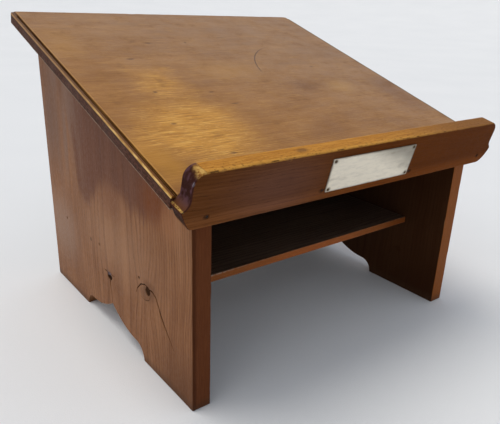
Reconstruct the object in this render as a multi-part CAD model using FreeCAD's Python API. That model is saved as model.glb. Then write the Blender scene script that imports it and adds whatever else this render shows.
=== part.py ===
import FreeCAD, Part
import math
import os

V = FreeCAD.Vector

# A table book stand in oak, in millimetres: X to the right, Y to the back, Z up.
# Two arched sides carry a sloping board with a book stop along its front edge.
# Between the sides is a low shelf, and a back board closes the space above it.
# Depths are measured back from the front edges of the sides until the pieces are
# placed, and then the origin is on the floor under the middle of the whole stand.

# Sides
body_width = 380.0
side_thickness = 19.0
side_depth = 342.0
left_front_foot = 96.0
right_front_foot = 106.0
arch_width = 146.0
arch_height = 34.0
arch_lobe_radius = 16.0

# Sloping board, with a bead and quirk worked along its left and right edges
board_width = 421.0
board_length = 382.0
board_thickness = 13.0
board_slope_deg = 17.75
board_front_height = 215.5
bead_radius = 2.15
bead_drop = 1.0
quirk_width = 1.2
left_corner_radius = 3.0
right_corner_radius = 13.0

# Book stop, leaning forward from the upright
stop_lean_deg = 14.25
stop_thickness = 17.0
stop_rise = 26.0
stop_drop = 24.0
stop_ear_inset = 7.0
stop_ear_radius = 11.0
stop_cove_radius = 10.0
stop_cusp_drop = 6.0
stop_foot_radius = 12.0
stop_arris_radius = 1.2

# Shelf, let into the sides from behind
shelf_thickness = 8.0
shelf_top_height = 100.0
shelf_setback = 58.0
housing_depth = 5.0

# Back board, in a rebate at the back of each side
back_thickness = 8.0
rebate_width = 9.5

# Rail under the board behind the book stop, and a cleat under the board along each side
rail_depth = 16.0
cleat_section = 18.0
cleat_length = 240.0
cleat_setback = 46.0

# Plaque on the book stop
plaque_width = 116.0
plaque_height = 34.0
plaque_thickness = 1.0
plaque_centre_x = -2.0
plaque_centre_rise = 0.5
plaque_pin_inset_x = 3.2
plaque_pin_inset_z = 2.6
plaque_pin_head_radius = 1.4
plaque_pin_head_height = 0.8
plaque_pin_shank_radius = 0.6
plaque_pin_length = 9.0

# Nails, driven level and punched below the surface
nail_shank_radius = 1.1
nail_head_radius = 1.6
nail_head_height = 1.2
nail_punch_depth = 0.8
stop_nail_length = 40.0
stop_nail_count = 4
stop_nail_spacing = 124.0
stop_nail_front_drop = 14.3
shelf_nail_length = 36.0
shelf_nail_count = 3
shelf_nail_end_distance = 42.0

# Pins through the back board
back_pin_length = 20.0
back_pin_side_count = 4
back_pin_shelf_count = 3
back_pin_end_distance = 25.0

# Countersunk screws through the cleats, up into the board and out into the sides
screw_length = 26.0
screw_shank_radius = 1.75
screw_head_radius = 3.4
screw_head_height = 2.4
screw_end_distance = 20.0
board_screw_count = 3
side_screw_count = 2

# Room left around a cutting tool so that it runs clear of the wood
tool_margin = 5.0

# Two measures closer than this count as the same
same_place = 0.01

# Sizes that follow from the ones above
slope = math.radians(board_slope_deg)
lean = math.radians(stop_lean_deg)
bevel = slope - lean
half_inside = body_width / 2 - side_thickness
underside_drop = board_thickness / math.cos(bevel)
nose = underside_drop * math.sin(lean)
quirk_depth = bead_drop + bead_radius
moulding_width = 2 * bead_radius + quirk_width
shelf_floor_height = shelf_top_height - shelf_thickness
shelf_depth = side_depth - back_thickness - shelf_setback
stop_front_y = -nose - stop_rise * math.sin(lean) - stop_thickness * math.cos(lean)
board_back_y = -nose + board_length * math.cos(slope) + board_thickness * math.sin(slope)
middle_y = (stop_front_y + board_back_y) / 2


def tilt(shape, angle):
    """Turn a shape about X, then move its origin to where the board meets the stop."""
    placed = shape.copy()
    placed.rotate(V(0, 0, 0), V(1, 0, 0), math.degrees(angle))
    placed.translate(V(0, -nose, board_front_height))
    return placed


def on_board(shape):
    """From board terms (across, up the slope, off the face) to the stand."""
    return tilt(shape, slope)


def on_stop(shape):
    """From stop terms (across, backwards, up its face) to the stand."""
    return tilt(shape, lean)


def stop_point(back, up):
    """Depth and height of a point given in stop terms."""
    y = -nose + back * math.cos(lean) - up * math.sin(lean)
    z = board_front_height + back * math.sin(lean) + up * math.cos(lean)
    return y, z


def underside_height(y):
    """Height of the board's lower face at a depth y."""
    y_edge, z_edge = stop_point(0, -underside_drop)
    return z_edge + (y - y_edge) * math.tan(slope)


def line(a, b):
    return Part.LineSegment(a, b).toShape()


def arc(a, through, b):
    return Part.Arc(a, through, b).toShape()


def face_of(edges):
    return Part.Face(Part.Wire(Part.__sortEdges__(edges)))


def polygon_face(points):
    return Part.Face(Part.makePolygon(points + points[:1]))


def block(x0, x1, y0, y1, z0, z1):
    return Part.makeBox(x1 - x0, y1 - y0, z1 - z0, V(x0, y0, z0))


def mirrored(shape):
    return shape.mirror(V(0, 0, 0), V(1, 0, 0))


def evenly(first, last, count):
    """Places from first to last, evenly spaced, with both ends used."""
    return [first + (last - first) * i / (count - 1) for i in range(count)]


def drilled(shape, holes):
    return shape.cut(Part.makeCompound(holes)) if holes else shape


def arch_half(y_foot, y_point):
    """Half of the ogee arch: a round lobe at the foot, then a hollow curve to the point."""
    way = 1 if y_point > y_foot else -1
    reach = abs(y_point - y_foot) - arch_lobe_radius
    climb = arch_height - arch_lobe_radius
    hollow_radius = (reach**2 + climb**2) / (2 * climb)
    half_turn = math.asin(reach / hollow_radius) / 2
    y_turn = y_foot + way * arch_lobe_radius
    lobe_share = math.sqrt(0.5) * arch_lobe_radius
    lobe_middle = V(0, y_turn - way * lobe_share, lobe_share)
    turn = V(0, y_turn, arch_lobe_radius)
    hollow_middle = V(
        0,
        y_turn + way * hollow_radius * math.sin(half_turn),
        arch_lobe_radius + hollow_radius * (1 - math.cos(half_turn)),
    )
    point = V(0, y_point, arch_height)
    return [arc(V(0, y_foot, 0), lobe_middle, turn), arc(turn, hollow_middle, point)]


def side_blank(front_foot):
    """A side in the left one's place, with its arch and sloping top, before anything is let in."""
    arch_back = front_foot + arch_width
    arch_point = front_foot + arch_width / 2
    corners = [
        V(0, front_foot, 0),
        V(0, 0, 0),
        V(0, 0, underside_height(0)),
        V(0, side_depth, underside_height(side_depth)),
        V(0, side_depth, 0),
        V(0, arch_back, 0),
    ]
    edges = [line(a, b) for a, b in zip(corners, corners[1:])]
    edges += arch_half(front_foot, arch_point) + arch_half(arch_back, arch_point)
    blank = face_of(edges).extrude(V(side_thickness, 0, 0))
    blank.translate(V(-body_width / 2, 0, 0))
    return blank


def side(front_foot, holes):
    """A side in the left one's place, cut for the book stop, the shelf's end and the back board."""
    inner = -half_inside
    housing = block(
        inner - housing_depth, inner + tool_margin,
        shelf_setback, side_depth - back_thickness,
        shelf_floor_height, shelf_top_height,
    )
    rebate = block(
        inner - rebate_width, inner + tool_margin,
        side_depth - back_thickness, side_depth + tool_margin,
        shelf_floor_height, underside_height(side_depth) + tool_margin,
    )
    return drilled(side_blank(front_foot).cut(housing).cut(rebate).cut(stop_blank()), holes)


def left_side(holes):
    return side(left_front_foot, holes)


def right_side(holes):
    """Right side, where the arch was sawn a little further back."""
    return mirrored(side(right_front_foot, [mirrored(hole) for hole in holes]))


def board_section():
    """Section across the board: a flat face between two beaded edges."""
    half = board_width / 2
    floor = -quirk_depth
    left_edges = [
        line(V(-half, 0, -board_thickness), V(-half, 0, floor)),
        arc(
            V(-half, 0, floor),
            V(-half + bead_radius, 0, -bead_drop),
            V(-half + 2 * bead_radius, 0, floor),
        ),
        line(V(-half + 2 * bead_radius, 0, floor), V(-half + moulding_width, 0, floor)),
        line(V(-half + moulding_width, 0, floor), V(-half + moulding_width, 0, 0)),
    ]
    right_edges = [mirrored(edge) for edge in left_edges]
    top = line(V(-half + moulding_width, 0, 0), V(half - moulding_width, 0, 0))
    bottom = line(V(-half, 0, -board_thickness), V(half, 0, -board_thickness))
    return face_of(left_edges + right_edges + [top, bottom])


def corner_waste(x_side, radius):
    """What comes off a back corner of the board when it is rounded."""
    half = board_width / 2
    x_edge = x_side * half
    x_centre = x_side * (half - radius)
    y_centre = board_length - radius
    x0, x1 = sorted((x_centre, x_edge + x_side * tool_margin))
    below = -board_thickness - tool_margin
    height = board_thickness + 2 * tool_margin
    square = block(x0, x1, y_centre, board_length + tool_margin, below, below + height)
    return square.cut(Part.makeCylinder(radius, height, V(x_centre, y_centre, below)))


def top_board(holes):
    """Sloping board, its front edge bevelled to lie against the book stop."""
    front_reach = board_thickness * math.tan(bevel)
    start = -front_reach - tool_margin
    section = board_section()
    section.translate(V(0, start, 0))
    board = section.extrude(V(0, board_length - start, 0))
    half = board_width / 2
    bevel_waste = polygon_face([
        V(-half - tool_margin, 0, 0),
        V(-half - tool_margin, -front_reach, -board_thickness),
        V(-half - tool_margin, start - tool_margin, -board_thickness),
        V(-half - tool_margin, start - tool_margin, 0),
    ]).extrude(V(board_width + 2 * tool_margin, 0, 0))
    board = board.cut(bevel_waste)
    board = board.cut(corner_waste(-1, left_corner_radius))
    board = board.cut(corner_waste(1, right_corner_radius))
    return drilled(on_board(board), holes)


def stop_end():
    """Left end of the book stop, from the middle of its top round to its bottom."""
    end = -board_width / 2
    ear = end + stop_ear_inset
    cusp = -stop_cusp_drop
    foot = -stop_drop
    cove_x = ear - stop_cove_radius
    cove_rise = math.sqrt(stop_cove_radius**2 - (end - cove_x)**2)
    cove_z = cusp + cove_rise
    cove_turn = math.atan2(cove_rise, end - cove_x) / 2
    near = 1 - math.sqrt(0.5)
    return [
        line(V(0, 0, stop_rise), V(ear + stop_ear_radius, 0, stop_rise)),
        arc(
            V(ear + stop_ear_radius, 0, stop_rise),
            V(ear + near * stop_ear_radius, 0, stop_rise - near * stop_ear_radius),
            V(ear, 0, stop_rise - stop_ear_radius),
        ),
        line(V(ear, 0, stop_rise - stop_ear_radius), V(ear, 0, cove_z)),
        arc(
            V(ear, 0, cove_z),
            V(
                cove_x + stop_cove_radius * math.cos(cove_turn),
                0,
                cove_z - stop_cove_radius * math.sin(cove_turn),
            ),
            V(end, 0, cusp),
        ),
        line(V(end, 0, cusp), V(end, 0, foot + stop_foot_radius)),
        arc(
            V(end, 0, foot + stop_foot_radius),
            V(end + near * stop_foot_radius, 0, foot + near * stop_foot_radius),
            V(end + stop_foot_radius, 0, foot),
        ),
        line(V(end + stop_foot_radius, 0, foot), V(0, 0, foot)),
    ]


def stop_blank():
    """Book stop before its nails, with its top arrises eased."""
    left = stop_end()
    outline = face_of(left + [mirrored(edge) for edge in left])
    outline.translate(V(0, -stop_thickness, 0))
    blank = outline.extrude(V(0, stop_thickness, 0)).removeSplitter()
    top_edges = [
        edge for edge in blank.Edges
        if min(vertex.Z for vertex in edge.Vertexes) > stop_rise - stop_ear_radius - same_place
        and abs(edge.BoundBox.YLength) < same_place
    ]
    return on_stop(blank.makeFillet(stop_arris_radius, top_edges))


def book_stop(holes):
    return drilled(stop_blank(), holes)


def shelf(holes):
    half = half_inside + housing_depth
    piece = block(
        -half, half,
        shelf_setback, shelf_setback + shelf_depth,
        shelf_floor_height, shelf_top_height,
    )
    return drilled(piece, holes)


def back_board(holes):
    """Back board, from the shelf's lower face up to the sloping board."""
    front = side_depth - back_thickness
    half = half_inside + rebate_width
    piece = polygon_face([
        V(-half, front, shelf_floor_height),
        V(-half, side_depth, shelf_floor_height),
        V(-half, side_depth, underside_height(side_depth)),
        V(-half, front, underside_height(front)),
    ]).extrude(V(2 * half, 0, 0))
    return drilled(piece, holes)


def front_rail(holes):
    """Rail under the board, against the back of the book stop."""
    y_top, z_top = stop_point(0, -underside_drop)
    y_foot, z_foot = stop_point(0, -stop_drop)
    y_back = y_foot + rail_depth
    piece = polygon_face([
        V(-half_inside, y_top, z_top),
        V(-half_inside, y_foot, z_foot),
        V(-half_inside, y_back, z_foot),
        V(-half_inside, y_back, underside_height(y_back)),
    ]).extrude(V(2 * half_inside, 0, 0))
    return drilled(piece, holes)


def left_cleat(holes):
    """Square cleat in the corner between the left side and the board."""
    piece = block(
        -half_inside, -half_inside + cleat_section,
        cleat_setback, cleat_setback + cleat_length,
        -board_thickness - cleat_section, -board_thickness,
    )
    return drilled(on_board(piece), holes)


def right_cleat(holes):
    return mirrored(left_cleat([mirrored(hole) for hole in holes]))


def plaque(holes):
    """Thin metal plate on the front of the book stop, with nothing on it."""
    x0 = plaque_centre_x - plaque_width / 2
    z0 = plaque_centre_rise - plaque_height / 2
    piece = block(
        x0, x0 + plaque_width,
        -stop_thickness - plaque_thickness, -stop_thickness,
        z0, z0 + plaque_height,
    )
    return drilled(on_stop(piece), holes)


def nail(length):
    """A nail along +Y, with the outer face of its head at the origin."""
    head = Part.makeCylinder(nail_head_radius, nail_head_height, V(0, 0, 0), V(0, 1, 0))
    shank = Part.makeCylinder(nail_shank_radius, length, V(0, 0, 0), V(0, 1, 0))
    return head.fuse(shank).removeSplitter()


def nail_with_punch_mark(length):
    """The room that a nail takes in the wood, with the dimple over its head."""
    mark = Part.makeCylinder(
        nail_head_radius, nail_punch_depth + tool_margin,
        V(0, -nail_punch_depth - tool_margin, 0), V(0, 1, 0),
    )
    return nail(length).fuse(mark).removeSplitter()


def screw():
    """A countersunk screw along +Z, with the outer face of its head at the origin."""
    head = Part.makeCone(screw_head_radius, screw_shank_radius, screw_head_height)
    shank = Part.makeCylinder(screw_shank_radius, screw_length)
    return head.fuse(shank).removeSplitter()


def plaque_pin():
    """A dome-headed pin along +Y, with the underside of its head at the origin."""
    r = plaque_pin_head_radius
    h = plaque_pin_head_height
    dome = arc(V(0, -h, 0), V(r * math.sqrt(0.5), -h * math.sqrt(0.5), 0), V(r, 0, 0))
    half_section = face_of([line(V(0, 0, 0), V(0, -h, 0)), dome, line(V(r, 0, 0), V(0, 0, 0))])
    head = half_section.revolve(V(0, 0, 0), V(0, 1, 0), 360)
    shank = Part.makeCylinder(
        plaque_pin_shank_radius, plaque_pin_length, V(0, 0, 0), V(0, 1, 0)
    )
    return head.fuse(shank).removeSplitter()


def stop_nail_places():
    """Level nails through the stop: the outer two enter the sides, the others the rail."""
    y, z = stop_point(-stop_thickness, -stop_nail_front_drop)
    half_row = stop_nail_spacing * (stop_nail_count - 1) / 2
    return [V(x, y + nail_punch_depth, z) for x in evenly(-half_row, half_row, stop_nail_count)]


def stop_nail_row(shape):
    return [shape.translated(place) for place in stop_nail_places()]


def left_shelf_nail_row(shape):
    """Nails through the left side into the end of the shelf."""
    turned = shape.rotated(V(0, 0, 0), V(0, 0, 1), -90)
    first = shelf_setback + shelf_nail_end_distance
    last = shelf_setback + shelf_depth - shelf_nail_end_distance
    x = -body_width / 2 + nail_punch_depth
    z = shelf_top_height - shelf_thickness / 2
    return [turned.translated(V(x, y, z)) for y in evenly(first, last, shelf_nail_count)]


def back_pin_row(shape):
    """Pins from behind: up each rebate, and along the back edge of the shelf."""
    turned = shape.rotated(V(0, 0, 0), V(0, 0, 1), 180)
    x_side = half_inside + rebate_width / 2
    low = shelf_top_height + back_pin_end_distance
    high = underside_height(side_depth - back_pin_length) - back_pin_end_distance
    z_shelf = shelf_top_height - shelf_thickness / 2
    x_end = x_side - back_pin_end_distance
    places = [V(x, side_depth, z) for x in (-x_side, x_side)
              for z in evenly(low, high, back_pin_side_count)]
    places += [V(x, side_depth, z_shelf) for x in evenly(-x_end, x_end, back_pin_shelf_count)]
    return [turned.translated(place) for place in places]


def left_cleat_screws():
    """Screws through the left cleat, given in board terms and then placed."""
    x_middle = -half_inside + cleat_section / 2
    x_face = -half_inside + cleat_section
    z_foot = -board_thickness - cleat_section
    z_middle = -board_thickness - cleat_section / 2
    first = cleat_setback + screw_end_distance
    last = cleat_setback + cleat_length - screw_end_distance
    upward = [screw().translated(V(x_middle, y, z_foot))
              for y in evenly(first, last, board_screw_count)]
    sideways = screw().rotated(V(0, 0, 0), V(0, 1, 0), -90)
    quarter = (last - first) / 4
    outward = [sideways.translated(V(x_face, y, z_middle))
               for y in evenly(first + quarter, last - quarter, side_screw_count)]
    return [on_board(item) for item in upward + outward]


def plaque_pin_row():
    """A pin in each corner of the plaque."""
    dx = plaque_width / 2 - plaque_pin_inset_x
    dz = plaque_height / 2 - plaque_pin_inset_z
    y = -stop_thickness - plaque_thickness
    places = [V(plaque_centre_x + sx * dx, y, plaque_centre_rise + sz * dz)
              for sx in (-1, 1) for sz in (-1, 1)]
    return [on_stop(plaque_pin().translated(place)) for place in places]


def make_pieces():
    """Every piece of the stand by name, with its own solids."""
    stop_nails = stop_nail_row(nail(stop_nail_length))
    stop_nail_room = stop_nail_row(nail_with_punch_mark(stop_nail_length))
    left_shelf_nails = left_shelf_nail_row(nail(shelf_nail_length))
    left_shelf_room = left_shelf_nail_row(nail_with_punch_mark(shelf_nail_length))
    back_pins = back_pin_row(nail(back_pin_length))
    cleat_screws = left_cleat_screws()
    pins = plaque_pin_row()

    right_shelf_nails = [mirrored(item) for item in left_shelf_nails]
    right_cleat_screws = [mirrored(item) for item in cleat_screws]
    right_shelf_room = [mirrored(item) for item in left_shelf_room]
    side_room = stop_nail_room + back_pins

    return {
        "top_board": [top_board(cleat_screws + right_cleat_screws)],
        "book_stop": [book_stop(stop_nail_room + pins)],
        "side_left": [left_side(side_room + left_shelf_room + cleat_screws)],
        "side_right": [right_side(side_room + right_shelf_room + right_cleat_screws)],
        "shelf": [shelf(left_shelf_nails + right_shelf_nails + back_pins)],
        "back_board": [back_board(back_pins)],
        "front_rail": [front_rail(stop_nails)],
        "cleat_left": [left_cleat(cleat_screws)],
        "cleat_right": [right_cleat(right_cleat_screws)],
        "plaque": [plaque(pins)],
        "plaque_pins": pins,
        "book_stop_nails": stop_nails,
        "shelf_nails": left_shelf_nails + right_shelf_nails,
        "back_board_pins": back_pins,
        "cleat_screws": cleat_screws + right_cleat_screws,
    }


def main():
    os.makedirs("parts", exist_ok=True)
    for name, solids in make_pieces().items():
        shape = solids[0] if len(solids) == 1 else Part.makeCompound(solids)
        shape = shape.translated(V(0, -middle_y, 0))
        shape.exportStep("parts/" + name + ".step")
        print(name, "solids", len(shape.Solids), "mm3", round(shape.Volume), "valid", shape.isValid())


main()
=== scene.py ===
from math import asin, atan2, ceil, cos, degrees, pi, radians, sin, sqrt, tan

import bpy
import numpy as np
from mathutils import Matrix, Vector, noise


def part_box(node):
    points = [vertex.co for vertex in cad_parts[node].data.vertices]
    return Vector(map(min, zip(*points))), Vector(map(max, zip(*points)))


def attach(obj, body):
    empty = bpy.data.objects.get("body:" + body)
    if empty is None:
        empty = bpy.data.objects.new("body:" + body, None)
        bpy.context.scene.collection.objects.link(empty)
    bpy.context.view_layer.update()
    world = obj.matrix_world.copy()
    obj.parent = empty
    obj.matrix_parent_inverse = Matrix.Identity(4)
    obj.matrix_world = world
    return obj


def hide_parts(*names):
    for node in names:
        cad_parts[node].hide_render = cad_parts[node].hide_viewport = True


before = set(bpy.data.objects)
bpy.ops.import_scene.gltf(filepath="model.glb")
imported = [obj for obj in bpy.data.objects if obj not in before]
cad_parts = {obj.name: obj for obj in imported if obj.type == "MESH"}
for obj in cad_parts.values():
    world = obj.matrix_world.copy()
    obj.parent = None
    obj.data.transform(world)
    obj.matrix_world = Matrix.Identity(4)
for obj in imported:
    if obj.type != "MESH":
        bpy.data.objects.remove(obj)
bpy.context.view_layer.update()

# A table book stand in old waxed oak. Sizes are in millimetres, in the materials too, and
# become metres where a mesh is made. Places come from the frame where it can give them.
MM = 0.001


def node_box(node):
    """Lowest and highest corner of a node, in millimetres."""
    low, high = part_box(node)
    return np.array(low) / MM, np.array(high) / MM


side_low, side_high = node_box("side_left")
_, board_high = node_box("top_board")
shelf_low, shelf_high = node_box("shelf")
back_low, back_high = node_box("back_board")
rail_low, rail_high = node_box("front_rail")

FRONT = side_low[1]
BACK = side_high[1]
BODY_HALF = -side_low[0]
INNER_HALF = -side_high[0]
BOARD_HALF = board_high[0]
SHELF_TOP = shelf_high[2]
SHELF_THICKNESS = SHELF_TOP - shelf_low[2]
SHELF_FRONT = shelf_low[1]
BACK_THICKNESS = BACK - back_low[1]
SIDE_THICKNESS = BODY_HALF - INNER_HALF

# Sloping board and book stop
BOARD_LENGTH = 382.0
BOARD_THICKNESS = 13.0
SLOPE = radians(17.75)
LEAN = radians(14.25)
BEVEL = SLOPE - LEAN
MEETING_HEIGHT = 215.5
BEAD_RADIUS = 2.15
BEAD_DROP = 1.0
QUIRK_WIDTH = 1.2
QUIRK_STOP = 5.0
MOULDING_WIDTH = 2 * BEAD_RADIUS + QUIRK_WIDTH
QUIRK_DEPTH = BEAD_DROP + BEAD_RADIUS
LEFT_CORNER_RADIUS = 3.0
RIGHT_CORNER_RADIUS = 13.0
STOP_THICKNESS = 17.0
STOP_RISE = 26.0
STOP_DROP = 24.0
EAR_INSET = 7.0
EAR_RADIUS = 11.0
COVE_RADIUS = 10.0
CUSP_DROP = 6.0

# Sides
FRONT_FOOT = {-1: 96.0, 1: 106.0}
ARCH_WIDTH = 146.0
ARCH_HEIGHT = 34.0
LOBE_RADIUS = 16.0
HOUSING_DEPTH = 5.0
REBATE_WIDTH = 9.5

# Rail, cleats, plaque and fixings
CLEAT_SECTION = 18.0
CLEAT_LENGTH = 240.0
CLEAT_SETBACK = 46.0
PLAQUE_WIDTH = 116.0
PLAQUE_HEIGHT = 34.0
PLAQUE_THICKNESS = 1.0
PLAQUE_CENTRE = (-2.0, 0.5)
PLAQUE_PIN_INSET = (3.2, 2.6)
STOP_NAIL_DROP = 14.3
STOP_NAIL_SPACING = 124.0
SHELF_NAIL_END = 42.0
BACK_PIN_END = 25.0
BACK_PIN_LENGTH = 20.0
SCREW_END = 20.0
PUNCH_DEPTH = 0.8
STOP_NAIL_LENGTH = 40.0
SHELF_NAIL_LENGTH = 36.0

STOP_FACE = -STOP_THICKNESS
SHOULDER = BOARD_HALF - MOULDING_WIDTH
QUIRK_FLOOR = -QUIRK_DEPTH
UNDERSIDE_DROP = BOARD_THICKNESS / cos(BEVEL)
NOSE = UNDERSIDE_DROP * sin(LEAN)
MEETING = Vector((0, FRONT - NOSE, MEETING_HEIGHT)) * MM
ON_BOARD = Matrix.Translation(MEETING) @ Matrix.Rotation(SLOPE, 4, "X")
ON_STOP = Matrix.Translation(MEETING) @ Matrix.Rotation(LEAN, 4, "X")
IN_ROOM = Matrix.Identity(4)


def underside_height(y):
    """Height of the sloping board's lower face over a depth y."""
    return MEETING_HEIGHT - UNDERSIDE_DROP * cos(LEAN) + (y - FRONT) * tan(SLOPE)


# Mesh building
ARRIS_STEPS = 4
SHARP_ANGLE = radians(38)


def arc(centre, radius, start, end, steps):
    """Points on an arc, with its angles in degrees."""
    turns = np.radians(np.linspace(start, end, steps + 1))
    return [(centre[0] + radius * cos(t), centre[1] + radius * sin(t)) for t in turns]


def eased(corners, steps=4):
    """An outline from (x, y, radius) corners, each turned into an arc of its radius."""
    outline = []
    for i, (x, y, radius) in enumerate(corners):
        here = Vector((x, y))
        if radius == 0:
            outline.append((x, y))
            continue
        before = (Vector(corners[i - 1][:2]) - here).normalized()
        after = (Vector(corners[(i + 1) % len(corners)][:2]) - here).normalized()
        half = before.angle(after) / 2
        reach = radius / tan(half)
        centre = here + (before + after).normalized() * (radius / sin(half))
        first, last = here + before * reach - centre, here + after * reach - centre
        for k in range(steps + 1):
            spoke = first.normalized().slerp(last.normalized(), k / steps)
            outline.append(tuple(centre + spoke * radius))
    return outline


def dense(outline, step):
    """The same closed outline with no edge longer than the step."""
    points = []
    for a, b in zip(outline, outline[1:] + outline[:1]):
        a, b = np.array(a), np.array(b)
        count = max(1, ceil(np.linalg.norm(b - a) / step))
        points += [tuple(a + (b - a) * k / count) for k in range(count)]
    return points


def ripple(points, scale, seed):
    """Smooth noise from -1 to 1 at each point."""
    return np.array([noise.noise(Vector((*p, seed)) / scale) for p in points])


def arris(points, radius, unevenness, seed, chips=()):
    """Radius of an arris round an outline: uneven, and larger where it is chipped."""
    waves = unevenness * (ripple(points, 14, seed) + ripple(points, 9, seed + 7))
    sizes = radius * (1 + np.minimum(waves, 0.25))
    for x, y, reach, depth in chips:
        away = np.hypot(*(np.array(points) - (x, y)).T) / reach
        ragged = 1 + 0.5 * ripple(points, 1.3, seed + x)
        sizes += depth * np.clip(1 - away**2, 0, 1) * ragged
    return np.maximum(sizes, 0.15)


def bands(rings, count, first=0):
    """Faces between rings of points that follow one another, each as long as the count."""
    faces = []
    for ring in range(rings - 1):
        for i in range(count):
            here, there = first + ring * count, first + (ring + 1) * count
            faces.append([here + i, here + (i + 1) % count, there + (i + 1) % count, there + i])
    return faces


def plate(outline, thickness, front, back):
    """A flat plate with rounded arrises: points, faces, and how worn each point is.
    Its outline runs anticlockwise, its front is at height 0, and its back is below."""
    points = np.array(outline)
    ahead = np.roll(points, -1, 0) - points
    ahead /= np.linalg.norm(ahead, axis=1)[:, None]
    normal_after = np.stack([-ahead[:, 1], ahead[:, 0]], 1)
    normal_before = np.roll(normal_after, 1, 0)
    inset = normal_before + normal_after
    inset /= np.linalg.norm(inset, axis=1)[:, None]
    inset /= np.maximum((inset * normal_before).sum(1), 0.6)[:, None]
    rings, worn = [], []
    turns = np.linspace(0, pi / 2, ARRIS_STEPS + 1)
    for radius, heights, order in (
        (front, lambda drop: -drop, turns),
        (back, lambda drop: drop - thickness, turns[::-1]),
    ):
        for turn in order:
            flat = points + inset * (radius * (1 - sin(turn)))[:, None]
            height = heights(radius * (1 - cos(turn)))
            rings.append(np.column_stack([flat, height]))
            worn.append(np.full(len(points), sin(2 * turn)))
    count = len(points)
    last = (len(rings) - 1) * count
    faces = [list(range(count)), list(range(last, last + count))[::-1]]
    faces += [face[::-1] for face in bands(len(rings), count)]
    return np.concatenate(rings), faces, np.concatenate(worn)


def laid(part, across, up, out, origin):
    """A plate turned so that its outline's axes and its front point along the given axes."""
    points, faces, worn = part
    axes = np.array([across, up, out], float)
    if np.linalg.det(axes) < 0:
        faces = [face[::-1] for face in faces]
    return points @ axes + np.array(origin), faces, worn


def turned(profile, steps):
    """Rings of points about Z, one for each (radius, height)."""
    turns = [2 * pi * k / steps for k in range(steps)]
    return [(radius * cos(turn), radius * sin(turn), height) for radius, height in profile for turn in turns]


def lathe(profile, steps):
    """A solid turned about Z from (radius, height) points, both ends on the axis."""
    points = turned(profile, steps)
    last = len(points) - steps
    faces = bands(len(profile), steps) + [list(range(steps))[::-1], list(range(last, last + steps))]
    return np.array(points), faces, np.zeros(len(points))


def joined(parts):
    """Several meshes as one."""
    points, faces, worn, count = [], [], [], 0
    for part_points, part_faces, part_worn in parts:
        points.append(part_points)
        worn.append(part_worn)
        faces += [[i + count for i in face] for face in part_faces]
        count += len(part_points)
    return np.concatenate(points), faces, np.concatenate(worn)


def moved(part, matrix):
    """A mesh through a 4 by 4 matrix in millimetres."""
    points, faces, worn = part
    turn = np.array(matrix)
    return points @ turn[:3, :3].T + turn[:3, 3], faces, worn


def mesh_object(name, part, place=IN_ROOM):
    """An object whose mesh is in its own frame, put in place by a matrix in metres."""
    points, faces, worn = part
    mesh = bpy.data.meshes.new(name)
    mesh.from_pydata((points * MM).tolist(), [], faces)
    mesh.attributes.new("worn", "FLOAT", "POINT").data.foreach_set("value", worn.astype(np.float32))
    thing = bpy.data.objects.new(name, mesh)
    bpy.context.scene.collection.objects.link(thing)
    thing.matrix_world = place
    return thing


def applied(thing):
    """Bake the object's modifiers into its mesh."""
    graph = bpy.context.evaluated_depsgraph_get()
    mesh = bpy.data.meshes.new_from_object(thing.evaluated_get(graph))
    thing.modifiers.clear()
    thing.data = mesh


def carved(thing, cutters):
    """Cut the cutters out of the object. They are in its own frame."""
    for n, cutter in enumerate(cutters):
        tool = mesh_object(f"cutter_{n}", cutter, thing.matrix_world)
        modifier = thing.modifiers.new("carve", "BOOLEAN")
        modifier.operation = "DIFFERENCE"
        modifier.solver = "EXACT"
        modifier.object = tool
        bpy.context.view_layer.update()
        applied(thing)
        bpy.data.objects.remove(tool)
    return thing


def shaded(thing):
    """Smooth shading that leaves flat faces flat and sharp edges sharp."""
    mesh = thing.data
    mesh.polygons.foreach_set("use_smooth", [True] * len(mesh.polygons))
    mesh.set_sharp_from_angle(angle=SHARP_ANGLE)
    modifier = thing.modifiers.new("normals", "WEIGHTED_NORMAL")
    modifier.mode = "FACE_AREA"
    modifier.weight = 60
    modifier.keep_sharp = True
    bpy.context.view_layer.update()
    applied(thing)
    return thing


def block(low, high):
    """A box with sharp edges, used as a cutter."""
    (x0, y0, z0), (x1, y1, z1) = low, high
    outline = [(x0, y0), (x1, y0), (x1, y1), (x0, y1)]
    points = np.array([(x, y, z) for z in (z1, z0) for x, y in outline])
    faces = [[0, 1, 2, 3], [7, 6, 5, 4]]
    faces += [[4 + i, 4 + (i + 1) % 4, (i + 1) % 4, i] for i in range(4)]
    return points, faces, np.zeros(8)


def tube(sections):
    """A closed solid through rings of points, one after another."""
    count = len(sections[0])
    points = np.concatenate(sections)
    faces = [list(range(count))[::-1], list(range(len(points) - count, len(points)))]
    return points, faces + bands(len(sections), count), np.zeros(len(points))


def groove(path, widths, depth):
    """A V-shaped cutter along a path on a face at height 0, from points (x, y)."""
    proud = 0.6
    sections = []
    for i, (x, y) in enumerate(path):
        before, after = path[max(i - 1, 0)], path[min(i + 1, len(path) - 1)]
        along = Vector((after[0] - before[0], after[1] - before[1])).normalized()
        side = Vector((-along.y, along.x)) * widths[i] / 2
        sections.append(np.array([
            (x + side.x, y + side.y, proud),
            (x - side.x, y - side.y, proud),
            (x - 0.35 * side.x, y - 0.35 * side.y, -depth * min(1.0, widths[i])),
            (x + 0.35 * side.x, y + 0.35 * side.y, -depth * min(1.0, widths[i])),
        ]))
    return tube(sections)


def hollow(centre, radii, seed, rough=0.25):
    """An uneven rounded cutter, longer or shorter along each axis."""
    steps = 14
    profile = [(sin(t), -cos(t)) for t in np.linspace(0.12, pi - 0.12, steps)]
    points, faces, worn = lathe(profile, steps)
    size = np.array([1 + rough * noise.noise(Vector(p) * 1.4 + Vector((seed, 0, 0))) for p in points])
    return points * size[:, None] * np.array(radii) + np.array(centre), faces, worn


# Materials

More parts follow.
